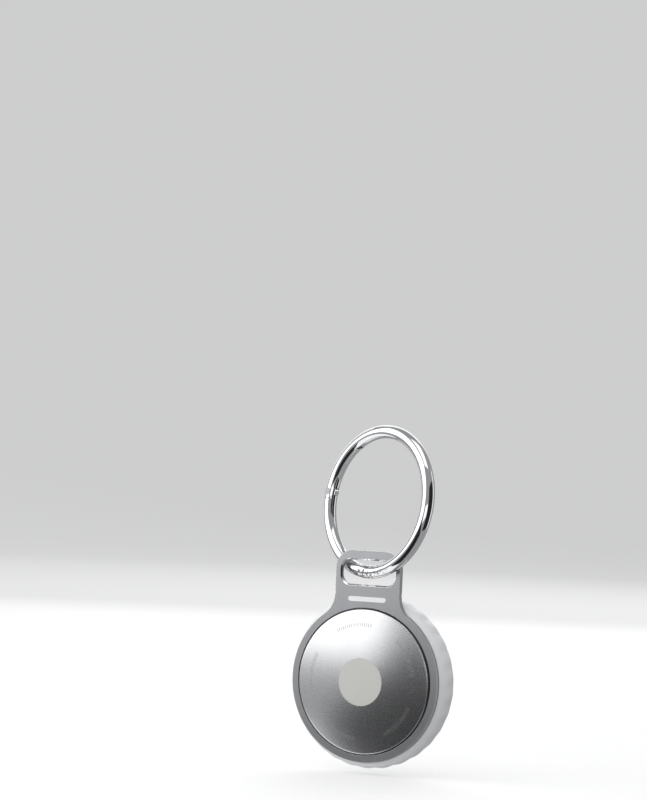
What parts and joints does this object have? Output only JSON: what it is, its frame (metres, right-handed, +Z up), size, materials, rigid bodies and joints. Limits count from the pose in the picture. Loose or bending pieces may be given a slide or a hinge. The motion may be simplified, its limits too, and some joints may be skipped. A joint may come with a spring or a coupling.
{
  "type": "bluetooth tracker tag",
  "caption": "Round coin-cell bluetooth tracker tag with a domed steel battery cover, white scalloped shell and a slotted metal tab hung on a spring-gate carry ring.",
  "frame": {"origin": "centre of the carry ring, where the object is held", "axes": "+Z up towards the ring's top with the tag hanging below, -Y out of the tag's domed front, +X to the right seen from the front"},
  "size_m": [0.0398, 0.0148, 0.0783],
  "materials": {
    "ring_chrome": "mirror polished chrome plate",
    "gate_chrome": "mirror polished chrome plate",
    "pin_steel": "turned steel rivet",
    "spring_steel": "drawn spring wire",
    "plunger_brass": "turned brass",
    "bezel_metal": "fine satin grey with bright cut edges",
    "shell_plastic": "satin white moulded plastic",
    "tray_plastic": "moulded white plastic",
    "seal_rubber": "soft silicone",
    "screw_steel": "zinc plated",
    "cover_steel": "fine satin polished stainless steel",
    "insulator_foam": "matt foam pad",
    "cell_can": "plain nickel plated steel",
    "cell_gasket": "nylon",
    "cell_cap": "plain nickel plated steel",
    "contact_gold": "gold plated spring bronze",
    "board_laminate": "green solder mask",
    "chip_epoxy": "black moulding compound",
    "shield_tin": "tinned steel",
    "crystal_can": "metal lid",
    "capacitor_ceramic": "ceramic",
    "antenna_film": "polyimide film on copper",
    "yoke_steel": "plated steel",
    "magnet_coat": "nickel plated magnet",
    "coil_copper": "enamelled copper winding",
    "diaphragm_film": "thin formed film"
  },
  "bodies": {
    "ring": {"ring_body": "ring_chrome"},
    "gate": {"ring_gate": "gate_chrome", "gate_pin": "pin_steel", "gate_spring": "spring_steel"},
    "plunger": {"gate_plunger": "plunger_brass"},
    "tag": {"bezel_plate": "bezel_metal", "rear_shell": "shell_plastic", "battery_tray": "tray_plastic", "cover_seal": "seal_rubber", "plate_screws": "screw_steel", "coin_cell_can": "cell_can", "coin_cell_gasket": "cell_gasket", "coin_cell_cap": "cell_cap", "positive_contacts": "contact_gold", "negative_contact": "contact_gold", "circuit_board": "board_laminate", "radio_chip": "chip_epoxy", "radio_shield": "shield_tin", "crystal": "crystal_can", "motion_sensor": "chip_epoxy", "board_capacitors": "capacitor_ceramic", "antenna_flex": "antenna_film", "speaker_yoke": "yoke_steel", "speaker_magnet": "magnet_coat", "voice_coil": "coil_copper", "speaker_diaphragm": "diaphragm_film"},
    "cover": {"battery_cover": "cover_steel", "cover_insulator": "insulator_foam"}
  },
  "joints": [
    {"name": "gate_hinge", "type": "hinge", "parent": "ring", "child": "gate", "pos_m": [-0.01493, 0.0058, 0.00167], "axis": [0.3476, 0.9297, -0.1219], "range_deg": [0, 35], "stiffness_Nm_per_rad": 0.0008, "springref_deg": -28.65},
    {"name": "plunger_slide", "type": "slide", "parent": "gate", "child": "plunger", "axis": [0.268, 0.026, 0.9631], "range_m": [0, 0.00021], "deforming": ["gate_spring"]},
    {"name": "ring_travel", "type": "hinge", "parent": "ring", "child": "tag", "pos_m": [0, 0, 0], "axis": [0.3476, 0.9297, -0.1219], "range_deg": [-110, 45]},
    {"name": "cover_turn", "type": "hinge", "parent": "tag", "child": "cover", "pos_m": [-0.00059, -0.00239, -0.04078], "axis": [0, -1, 0], "range_deg": [0, 30]}
  ],
  "couplings": [
    {"joint": "plunger_slide", "follows": "gate_hinge", "m_per_rad": 0.000311}
  ]
}
